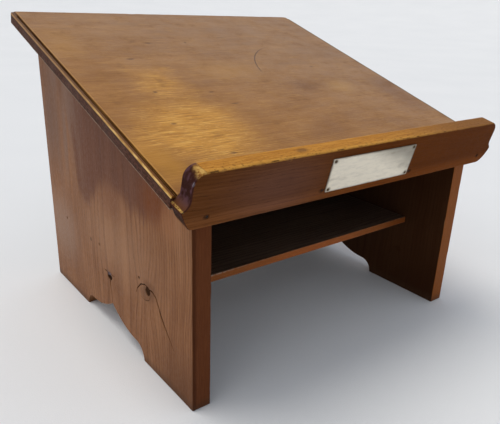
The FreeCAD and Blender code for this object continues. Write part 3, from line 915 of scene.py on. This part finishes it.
def moulding_waste(hand):
    """What the moulding plane takes off one edge of the board, with the plane's small wander."""
    half = BOARD_HALF
    centre = half - BEAD_RADIUS
    clear = 2.0
    profile = [(half + clear, 1.0), (SHOULDER - 0.9, 1.0), (SHOULDER - 0.9, 0.0)]
    profile += arc((SHOULDER - 0.9, -0.9), 0.9, 90, 0, 4)[1:]
    profile += [(SHOULDER, QUIRK_FLOOR + 0.3), (SHOULDER + 0.3, QUIRK_FLOOR)]
    profile += [(centre - BEAD_RADIUS, QUIRK_FLOOR)]
    profile += arc((centre, QUIRK_FLOOR), BEAD_RADIUS, 180, 0, 14)[1:]
    profile += [(half + 0.02, QUIRK_FLOOR - 0.05), (half + clear, QUIRK_FLOOR - 0.05)]
    shape = np.array(profile)
    sections = []
    for u in [*np.arange(-8, BOARD_LENGTH - 9, 7.0), BOARD_LENGTH - 8, BOARD_LENGTH - 4, BOARD_LENGTH + 8]:
        wander = np.array([noise.noise(Vector((u / 30, k, hand * 5))) for k in (0.5, 2.5)]) * (0.1, 0.14)
        ring = shape.copy()
        inside = (shape[:, 0] < half - 0.3) & (shape[:, 1] < 0)
        ring[inside] += wander
        if u > BOARD_LENGTH - QUIRK_STOP:
            slope = (SHOULDER - 0.5 - shape[:, 0]) * 0.4
            ring[inside, 1] = np.maximum(ring[inside, 1], slope[inside])
        sections.append(np.column_stack([ring[:, 0] * hand, np.full(len(ring), u), ring[:, 1]]))
    points, faces, worn = tube(sections)
    if hand > 0:
        faces = [face[::-1] for face in faces]
    return points, faces, worn


def top_board():
    half = BOARD_HALF
    outline = eased([
        (-half, 0, 0.4), (half, 0, 0.4), (half, BOARD_LENGTH, RIGHT_CORNER_RADIUS),
        (-half, BOARD_LENGTH, LEFT_CORNER_RADIUS),
    ], steps=8)
    outline = dense(outline, 5.0)
    front = arris(outline, 0.8, 0.35, 21.0, [(-60, BOARD_LENGTH, 6, 0.9), (150, BOARD_LENGTH, 9, 0.8)])
    back = arris(outline, 0.9, 0.3, 22.0)
    at_stop = np.array([y < 1 for _, y in outline])
    front[at_stop] = back[at_stop] = 0.15
    points, faces, worn = plate(outline, BOARD_THICKNESS, front, back)
    points[:, 1] += np.where(points[:, 1] < 1, points[:, 2] * tan(BEVEL), 0)
    thing = mesh_object("top_board_wood", (points, faces, worn), ON_BOARD)
    carved(thing, [moulding_waste(-1), moulding_waste(1)])
    return piece(thing, "top_board", board_material())


# Ends of the stop below its cusp, as (inset, height): the right one is worn to a slope
STOP_FOOT_LEFT = [(12.0, -24.0), (9.2, -23.4), (7.4, -21.9), (5.7, -19.2), (4.0, -15.8), (2.2, -11.6)]
STOP_FOOT_RIGHT = [(18.0, -24.0), (14.6, -23.3), (11.2, -21.5), (8.0, -18.8), (5.4, -15.4), (3.2, -11.4)]


def stop_half(foot, wear, tip):
    """Outline of the book stop's right half, from the middle of its bottom to its top.
    Its end is worn back by one distance, and the cusp's tip by another on top of that."""
    end = BOARD_HALF - wear
    ear = end - EAR_INSET
    cove_x = ear + COVE_RADIUS
    rise = sqrt(COVE_RADIUS**2 - (cove_x - end) ** 2)
    cove_z = -CUSP_DROP + rise
    turn = degrees(atan2(rise, cove_x - end))
    half = [(0, -STOP_DROP)] + [(end - inset, height) for inset, height in foot]
    half += [(end - tip, -CUSP_DROP - 1.2), (end - tip - 0.35, -CUSP_DROP + 0.1)]
    cove = arc((cove_x, cove_z), COVE_RADIUS, 180 + turn, 180, 8)
    half += [(x, v) for x, v in cove if x < end - tip - 0.5]
    half += arc((ear - EAR_RADIUS, STOP_RISE - EAR_RADIUS), EAR_RADIUS, 0, 90, 12)
    return half


# Chips along the stop's front top arris: place across, reach and extra radius
STOP_CHIPS = [(-178, 5, 1.6), (-148, 6, 1.3), (-141, 4, 1.6), (-112, 6, 2.3), (-99, 5, 1.1), (-30, 4, 0.7),
              (22, 5, 0.9), (88, 4, 0.7), (131, 6, 0.9), (168, 7, 1.6)]


def book_stop():
    right = stop_half(STOP_FOOT_RIGHT, 2.0, 1.6)
    left = [(-x, v) for x, v in stop_half(STOP_FOOT_LEFT, 0.0, 0.0)[:0:-1]]
    outline = dense(right + left, 2.2)
    chips = [(x, STOP_RISE, reach, depth) for x, reach, depth in STOP_CHIPS]
    front = arris(outline, 1.1, 0.3, 31.0, chips)
    back = arris(outline, 1.5, 0.25, 33.0, [(-60, STOP_RISE, 8, 0.6), (95, STOP_RISE, 6, 0.7)])
    low = np.array([v < -CUSP_DROP for _, v in outline])
    front[low] *= 0.6
    back[low] *= 0.4
    back[np.array([-CUSP_DROP - 2 < v < -1 for _, v in outline])] = 0.3
    part = plate(outline, STOP_THICKNESS, front, back)
    part = laid(part, (1, 0, 0), (0, 0, 1), (0, -1, 0), (0, STOP_FACE, 0))
    thing = mesh_object("book_stop_wood", part, ON_STOP)
    cutters = []
    for nail in stop_nail_places():
        local = ON_STOP.inverted() @ (Vector(nail) * MM) / MM
        cutters.append(hollow(local - Vector((0, 0.4, 0)), (1.9, 2.2, 1.8), nail[0], 0.3))
    carved(thing, cutters)
    return piece(thing, "book_stop", stop_material())


def side_outline(hand):
    """Outline of a side: depth and height, anticlockwise from its front foot."""
    toe = FRONT + FRONT_FOOT[hand]
    heel = toe + ARCH_WIDTH
    reach = ARCH_WIDTH / 2 - LOBE_RADIUS
    climb = ARCH_HEIGHT - LOBE_RADIUS
    radius = (reach**2 + climb**2) / (2 * climb)
    sweep = degrees(asin(reach / radius))
    first = arc((toe + LOBE_RADIUS, 0), LOBE_RADIUS, 180, 90, 8)
    first += arc((toe + LOBE_RADIUS, LOBE_RADIUS + radius), radius, -90, -90 + sweep, 14)[1:]
    middle = toe + ARCH_WIDTH / 2
    second = [(2 * middle - y, z) for y, z in first[-2::-1]]
    notch_y = FRONT - NOSE + STOP_DROP * sin(LEAN)
    notch_z = MEETING_HEIGHT - STOP_DROP * cos(LEAN)
    front_z = notch_z - (notch_y - FRONT) * tan(LEAN)
    arch = [(y, z, 0) for y, z in (first + second)[1:-1]]
    corners = [(FRONT, 0, 1.6), (toe, 0, 1.2)] + arch + [
        (heel, 0, 1.2), (BACK, 0, 1.6), (BACK, underside_height(BACK), 0.6),
        (FRONT, underside_height(FRONT), 0.3), (notch_y, notch_z, 0.2), (FRONT, front_z, 1.2),
    ]
    return dense(eased(corners), 4.0)


def side(name, node, hand, material, cutters):
    """One side. Cutters are given with the outer face at height 0."""
    outline = side_outline(hand)
    outer = arris(outline, 0.8, 0.16, 41.0 + hand, [(FRONT + 2, 60, 8, 0.6), (FRONT + 1, 150, 10, 0.5)])
    inner = arris(outline, 0.8, 0.2, 45.0 + hand, [(FRONT + 2, 110, 7, 0.7)])
    top = np.array([z > underside_height(y) - 1 for y, z in outline])
    outer[top] = inner[top] = 0.2
    place = ((0, 1, 0), (0, 0, 1), (hand, 0, 0), (hand * BODY_HALF, 0, 0))
    thing = mesh_object(name, laid(plate(outline, SIDE_THICKNESS, outer, inner), *place))
    shelf_room = block(
        (SHELF_FRONT, SHELF_TOP - SHELF_THICKNESS, -SIDE_THICKNESS - 3),
        (BACK - BACK_THICKNESS, SHELF_TOP, -SIDE_THICKNESS + HOUSING_DEPTH))
    rebate = block(
        (BACK - BACK_THICKNESS, SHELF_TOP - SHELF_THICKNESS, -SIDE_THICKNESS - 3),
        (BACK + 3, underside_height(BACK) + 5, -SIDE_THICKNESS + REBATE_WIDTH))
    carved(thing, [laid(cutter, *place) for cutter in [shelf_room, rebate] + cutters])
    return piece(thing, node, material)


def left_side_marks():
    """Cutters for the left side's knot hole, split knot and cracks."""
    knot_crack = [(84, 91), (73, 92), (66, 89), (61, 81), (56.5, 73), (48, 63), (40, 55), (33, 47)]
    knot_rim = [(79, 93), (88, 93.5), (97, 90), (104, 83), (107, 77)]
    inner_rim = [(76, 86), (80, 79), (88, 76), (97, 77)]
    split = [(171, 66), (171.5, 58), (170, 50), (169, 42), (169, ARCH_HEIGHT - 3)]
    hook = [(158, 71.5), (164, 70.5), (172, 70.5), (181, 70), (188, 69)]
    marks = [
        groove(knot_crack, [1.3, 2.3, 2.6, 2.6, 3.4, 2.7, 1.5, 0.5], 3.0),
        groove(knot_rim, [0.8, 1.6, 1.8, 1.6, 0.6], 2.0),
        groove(inner_rim, [0.4, 0.8, 0.8, 0.4], 1.5),
        groove(split, [3.4, 2.0, 1.3, 1.1, 1.0], 3.4),
        groove(hook, [0.4, 1.2, 1.8, 1.4, 0.3], 2.2),
        hollow((82, 88.5, 0.4), (4.6, 5.2, 6.0), 2.0),
        hollow((172, 66.5, 0.2), (6.2, 4.4, 4.2), 9.0),
    ]
    return [(points + np.array((FRONT, 0, 0)), faces, worn) for points, faces, worn in marks]


def nail_marks():
    """Cutters for the dimples over the nails that hold the shelf's ends."""
    z = SHELF_TOP - SHELF_THICKNESS / 2
    return [hollow((y, z, 0.1), (1.9, 1.8, 1.4), y, 0.3) for y in shelf_nail_depths()]


def shelf():
    (x0, y0, _), (x1, y1, _) = shelf_low, shelf_high
    outline = dense(eased([(x0, y0, 0.9), (x1, y0, 0.9), (x1, y1, 0.9), (x0, y1, 0.9)]), 4.0)
    chips = [(-158, SHELF_FRONT, 6, 1.3), (-139, SHELF_FRONT, 8, 1.0), (-60, SHELF_FRONT, 9, 0.6)]
    upper, lower = arris(outline, 0.7, 0.35, 51.0, chips), arris(outline, 0.7, 0.3, 52.0)
    part = plate(outline, SHELF_THICKNESS, upper, lower)
    part = laid(part, (1, 0, 0), (0, 1, 0), (0, 0, 1), (0, 0, SHELF_TOP))
    tones = ((0.042, 0.024, 0.016), (0.105, 0.066, 0.045), (0.17, 0.115, 0.08))
    front = (SHELF_FRONT, (0.14, 0.04, 0.01), (0.32, 0.105, 0.03))
    material = inner_material("oak_shelf", "x", "y", "z", tones, 13.0, front)
    return piece(mesh_object("shelf_wood", part), "shelf", material)


def across_plate(outline, width, radius, seed):
    """A piece with one (depth, height) outline all along X, centred, given its width."""
    points = dense(eased(outline), 4.0)
    sizes = arris(points, radius, 0.3, seed)
    return laid(plate(points, width, sizes, sizes), (0, 1, 0), (0, 0, 1), (1, 0, 0), (width / 2, 0, 0))


def back_board():
    front = BACK - BACK_THICKNESS
    outline = [(front, back_low[2], 0.5), (BACK, back_low[2], 0.5),
               (BACK, underside_height(BACK), 0.3), (front, underside_height(front), 0.3)]
    part = across_plate(outline, 2 * back_high[0], 0.4, 61.0)
    tones = ((0.045, 0.02, 0.01), (0.105, 0.05, 0.026), (0.17, 0.088, 0.046))
    material = inner_material("oak_back", "x", "z", "y", tones, 17.0)
    return piece(mesh_object("back_board_wood", part), "back_board", material)


def front_rail():
    top = (FRONT, underside_height(FRONT))
    foot_y, foot_z = rail_low[1] + STOP_DROP * sin(LEAN) - NOSE, rail_low[2]
    outline = [(*top, 0.2), (foot_y, foot_z, 0.2), (rail_high[1], foot_z, 1.4),
               (rail_high[1], underside_height(rail_high[1]), 0.3)]
    part = across_plate(outline, 2 * rail_high[0], 0.3, 63.0)
    tones = ((0.035, 0.016, 0.008), (0.09, 0.042, 0.021), (0.15, 0.075, 0.038))
    material = inner_material("oak_rail", "x", "z", "y", tones, 23.0)
    return piece(mesh_object("front_rail_wood", part), "front_rail", material)


def cleat(hand, node):
    """Square cleat under the board, in the board's own frame."""
    inside = sorted((hand * INNER_HALF, hand * (INNER_HALF - CLEAT_SECTION)))
    outline = eased([
        (inside[0], CLEAT_SETBACK, 1.2), (inside[1], CLEAT_SETBACK, 1.2),
        (inside[1], CLEAT_SETBACK + CLEAT_LENGTH, 1.2), (inside[0], CLEAT_SETBACK + CLEAT_LENGTH, 1.2),
    ])
    outline = dense(outline, 4.0)
    upper, lower = arris(outline, 0.2, 0.2, 71.0), arris(outline, 1.0, 0.4, 73.0 + hand)
    part = plate(outline, CLEAT_SECTION, upper, lower)
    part = laid(part, (1, 0, 0), (0, 1, 0), (0, 0, 1), (0, 0, -BOARD_THICKNESS))
    thing = mesh_object(node + "_wood", part, ON_BOARD)
    tones = ((0.04, 0.018, 0.009), (0.1, 0.047, 0.024), (0.18, 0.09, 0.045))
    material = inner_material("oak_" + node, "y", "x", "z", tones, 29.0 + hand)
    return piece(thing, node, material)


def plaque():
    cx, cv = PLAQUE_CENTRE
    w, h = PLAQUE_WIDTH / 2, PLAQUE_HEIGHT / 2
    outline = dense(eased([(cx - w, cv - h, 0.9), (cx + w, cv - h, 0.7),
                           (cx + w, cv + h, 1.2), (cx - w, cv + h, 0.7)]), 2.0)
    front = arris(outline, 0.3, 0.2, 81.0)
    part = plate(outline, PLAQUE_THICKNESS, front, np.full(len(outline), 0.15))
    part = laid(part, (1, 0, 0), (0, 0, 1), (0, -1, 0), (0, STOP_FACE - PLAQUE_THICKNESS, 0))
    return piece(mesh_object("plaque_plate", part, ON_STOP), "plaque", plaque_material())


def towards(direction, origin):
    """A matrix that sends +Z along a direction from an origin."""
    turn = Vector(direction).to_track_quat("Z", "Y").to_matrix().to_4x4()
    return Matrix.Translation(Vector(origin)) @ turn


def dome_pin(seed):
    """A plaque pin about +Z: a low dome with a hammered rim, on a thin shank."""
    r, h, shank, length = 1.4, 0.8, 0.6, 9.0
    dome = [(r * cos(t), h * sin(t)) for t in np.linspace(0, pi / 2 - 0.12, 7)]
    profile = [(0.05, -length), (shank, -length + 1.2), (shank, 0), (r, 0)] + dome[1:] + [(0.04, h)]
    points, faces, worn = lathe(profile, 18)
    dents = np.array([noise.noise(Vector(p) * 1.1 + Vector((seed, 0, 0))) for p in points])
    points[:, 2] += np.where(points[:, 2] > 0.2, dents * 0.12 - 0.05, 0)
    return points, faces, worn


def nail(length, seed):
    """A nail about +Z with its punched head at height 0."""
    profile = [(0.05, -length), (1.0, -length + 2.5), (1.1, -1.6), (1.55, -1.0), (1.6, -0.35),
               (1.35, -0.12), (0.95, -0.05), (0.6, -0.25), (0.04, -0.32)]
    points, faces, worn = lathe(profile, 16)
    dents = np.array([noise.noise(Vector(p) * 1.3 + Vector((seed, 0, 0))) for p in points])
    points[:, 2] += np.where(points[:, 2] > -0.6, dents * 0.1 - 0.08, 0)
    return points, faces, worn


def screw(seed):
    """A countersunk slotted wood screw about +Z with its head at height 0."""
    length, head, shank = 26.0, 3.4, 1.7
    profile = [(0.05, -length), (0.9, -length + 3), (shank, -length + 7), (shank, -2.4),
               (head, -0.25), (head - 0.2, -0.03), (head * 0.6, -0.02), (0.05, -0.02)]
    thing = mesh_object("screw_blank", lathe(profile, 24))
    turn = np.array(Matrix.Rotation(seed * 2.4, 3, "Z"))
    points, faces, worn = block((-5, -0.4, -0.9), (5, 0.4, 1.0))
    carved(thing, [(points @ turn.T, faces, worn)])
    mesh = thing.data
    points = np.array([v.co for v in mesh.vertices]) / MM
    faces = [list(p.vertices) for p in mesh.polygons]
    bpy.data.objects.remove(thing)
    return points, faces, np.zeros(len(points))


def stop_nail_places():
    """Where the stop's nail heads lie, in the room."""
    y = FRONT - NOSE - STOP_THICKNESS * cos(LEAN) + STOP_NAIL_DROP * sin(LEAN)
    z = MEETING_HEIGHT - STOP_THICKNESS * sin(LEAN) - STOP_NAIL_DROP * cos(LEAN)
    return [((k - 1.5) * STOP_NAIL_SPACING, y, z) for k in range(4)]


def shelf_nail_depths():
    return np.linspace(SHELF_FRONT + SHELF_NAIL_END, BACK - BACK_THICKNESS - SHELF_NAIL_END, 3)


def fixings(name, node, material, parts, place=IN_ROOM):
    return piece(mesh_object(name, joined(parts), place), node, material)


def all_fixings():
    steel = metal_material("nail_steel", (0.012, 0.009, 0.007), (0.05, 0.035, 0.025), 0.6, 0.5, 1.0)
    brass = metal_material("pin_metal", (0.035, 0.022, 0.012), (0.16, 0.11, 0.06), 0.9, 0.42, 2.0)
    bright = metal_material("screw_steel", (0.1, 0.09, 0.08), (0.38, 0.36, 0.33), 0.95, 0.38, 3.0)

    heads = [moved(nail(STOP_NAIL_LENGTH - PUNCH_DEPTH, k), towards((0, -1, 0), (x, y + PUNCH_DEPTH, z)))
             for k, (x, y, z) in enumerate(stop_nail_places())]
    fixings("book_stop_nail_set", "book_stop_nails", steel, heads)

    height = SHELF_TOP - SHELF_THICKNESS / 2
    x_head = BODY_HALF - PUNCH_DEPTH
    ends = [moved(nail(SHELF_NAIL_LENGTH, k * hand), towards((hand, 0, 0), (hand * x_head, y, height)))
            for hand in (-1, 1) for k, y in enumerate(shelf_nail_depths(), 4)]
    fixings("shelf_nail_set", "shelf_nails", steel, ends)

    x_side = INNER_HALF + REBATE_WIDTH / 2
    highest = underside_height(BACK - BACK_PIN_LENGTH) - BACK_PIN_END
    places = [(x, z) for x in (-x_side, x_side) for z in np.linspace(SHELF_TOP + BACK_PIN_END, highest, 4)]
    places += [(x, height) for x in np.linspace(BACK_PIN_END - x_side, x_side - BACK_PIN_END, 3)]
    pins = [moved(nail(BACK_PIN_LENGTH, 20 + k), towards((0, 1, 0), (x, BACK, z)))
            for k, (x, z) in enumerate(places)]
    fixings("back_board_pin_set", "back_board_pins", steel, pins)

    cx, cv = PLAQUE_CENTRE
    dx, dv = PLAQUE_WIDTH / 2 - PLAQUE_PIN_INSET[0], PLAQUE_HEIGHT / 2 - PLAQUE_PIN_INSET[1]
    face = STOP_FACE - PLAQUE_THICKNESS
    corners = [(cx + sx * dx, face, cv + sv * dv) for sx in (-1, 1) for sv in (-1, 1)]
    domes = [moved(dome_pin(k), towards((0, -1, 0), corner)) for k, corner in enumerate(corners)]
    fixings("plaque_pin_set", "plaque_pins", brass, domes, ON_STOP)

    screws = []
    middle = INNER_HALF - CLEAT_SECTION / 2
    foot = -BOARD_THICKNESS - CLEAT_SECTION
    first, last = CLEAT_SETBACK + SCREW_END, CLEAT_SETBACK + CLEAT_LENGTH - SCREW_END
    quarter = (last - first) / 4
    for hand in (-1, 1):
        for k, u in enumerate(np.linspace(first, last, 3)):
            screws.append(moved(screw(k + hand), towards((0, 0, -1), (hand * middle, u, foot))))
        for k, u in enumerate((first + quarter, last - quarter)):
            at = (hand * (INNER_HALF - CLEAT_SECTION), u, foot + CLEAT_SECTION / 2)
            screws.append(moved(screw(k + 5 * hand), towards((-hand, 0, 0), at)))
    fixings("cleat_screw_set", "cleat_screws", bright, screws, ON_BOARD)


# Knots as height, depth, reach and how far they push the grain
LEFT_KNOTS = [(84.5, 86.0, 17.0, 1.3), (69.0, 172.0, 10.0, 1.2)]
RIGHT_KNOTS = [(53.0, 63.0, 7.0, 1.2), (176.0, 235.0, 12.0, 1.0)]

top_board()
book_stop()
side("side_left_wood", "side_left", -1, side_material("oak_side_left", -1, LEFT_KNOTS, 5.0),
     left_side_marks() + nail_marks())
side("side_right_wood", "side_right", 1, side_material("oak_side_right", 1, RIGHT_KNOTS, 8.0), nail_marks())
shelf()
back_board()
front_rail()
cleat(-1, "cleat_left")
cleat(1, "cleat_right")
plaque()
all_fixings()


# Floor, light and camera


def floor():
    """A flat pale floor that rises far away, so that no edge of it shows."""
    flat, rim, height, steps = 4.0, 15.0, 5.5, 64
    rings = [(0.6, 0.0), (flat, 0.0)]
    for turn in np.linspace(0.15, pi / 2, 10):
        rings.append((flat + (rim - flat) * sin(turn), height * (1 - cos(turn))))
    points = [(0.0, 0.0, 0.0)] + turned(rings, steps)
    faces = [[0, 1 + k, 1 + (k + 1) % steps] for k in range(steps)]
    faces += [[a, d, c, b] for a, b, c, d in bands(len(rings), steps, first=1)]
    mesh = bpy.data.meshes.new("floor")
    mesh.from_pydata(points, [], faces)
    mesh.polygons.foreach_set("use_smooth", [True] * len(mesh.polygons))
    mesh.materials.append(floor_material())
    thing = bpy.data.objects.new("floor", mesh)
    bpy.context.scene.collection.objects.link(thing)


def daylight(name, source, strength, spread, colour):
    """Soft light from far away. The source is a direction in the room."""
    light = bpy.data.lights.new(name, "SUN")
    light.energy = strength
    light.angle = radians(spread)
    light.color = colour
    thing = bpy.data.objects.new(name, light)
    thing.rotation_euler = (-Vector(source)).to_track_quat("-Z", "Y").to_euler()
    bpy.context.scene.collection.objects.link(thing)


def room():
    world = bpy.data.worlds.new("room")
    world.use_nodes = True
    background = world.node_tree.nodes["Background"]
    background.inputs[0].default_value = (0.84, 0.9, 1.0, 1)
    background.inputs[1].default_value = 0.54
    bpy.context.scene.world = world
    daylight("above", (-0.18, 0.26, 0.95), 1.40, 34, (1.0, 0.955, 0.89))
    daylight("side", (-0.9, -0.1, 0.45), 0.55, 60, (1.0, 0.96, 0.91))
    bpy.context.scene.view_settings.view_transform = "Standard"


# The camera, found from the photograph's 500 by 424 pixels
CAMERA_PLACE = Vector((-0.407904, -0.522649, 0.353862))
CAMERA_YAW = radians(38.764)
CAMERA_PITCH = radians(-21.785)
CAMERA_ROLL = radians(2.416)
FOCAL_PIXELS = 557.598
CENTRE_PIXEL = (256.642, 223.996)
IMAGE_SIZE = (500, 424)


def camera():
    data = bpy.data.cameras.new("camera")
    data.sensor_width = 36.0
    data.lens = FOCAL_PIXELS / IMAGE_SIZE[0] * data.sensor_width
    data.shift_x = (IMAGE_SIZE[0] / 2 - CENTRE_PIXEL[0]) / IMAGE_SIZE[0]
    data.shift_y = (CENTRE_PIXEL[1] - IMAGE_SIZE[1] / 2) / IMAGE_SIZE[0]
    flat = cos(CAMERA_PITCH)
    forward = Vector((sin(CAMERA_YAW) * flat, cos(CAMERA_YAW) * flat, sin(CAMERA_PITCH)))
    level = Vector((cos(CAMERA_YAW), -sin(CAMERA_YAW), 0))
    upright = level.cross(forward)
    right = level * cos(CAMERA_ROLL) + upright * sin(CAMERA_ROLL)
    up = upright * cos(CAMERA_ROLL) - level * sin(CAMERA_ROLL)
    turn = Matrix((right, up, -forward)).transposed().to_4x4()
    thing = bpy.data.objects.new("camera", data)
    bpy.context.scene.collection.objects.link(thing)
    thing.matrix_world = Matrix.Translation(CAMERA_PLACE) @ turn
    bpy.context.scene.camera = thing


floor()
room()
camera()
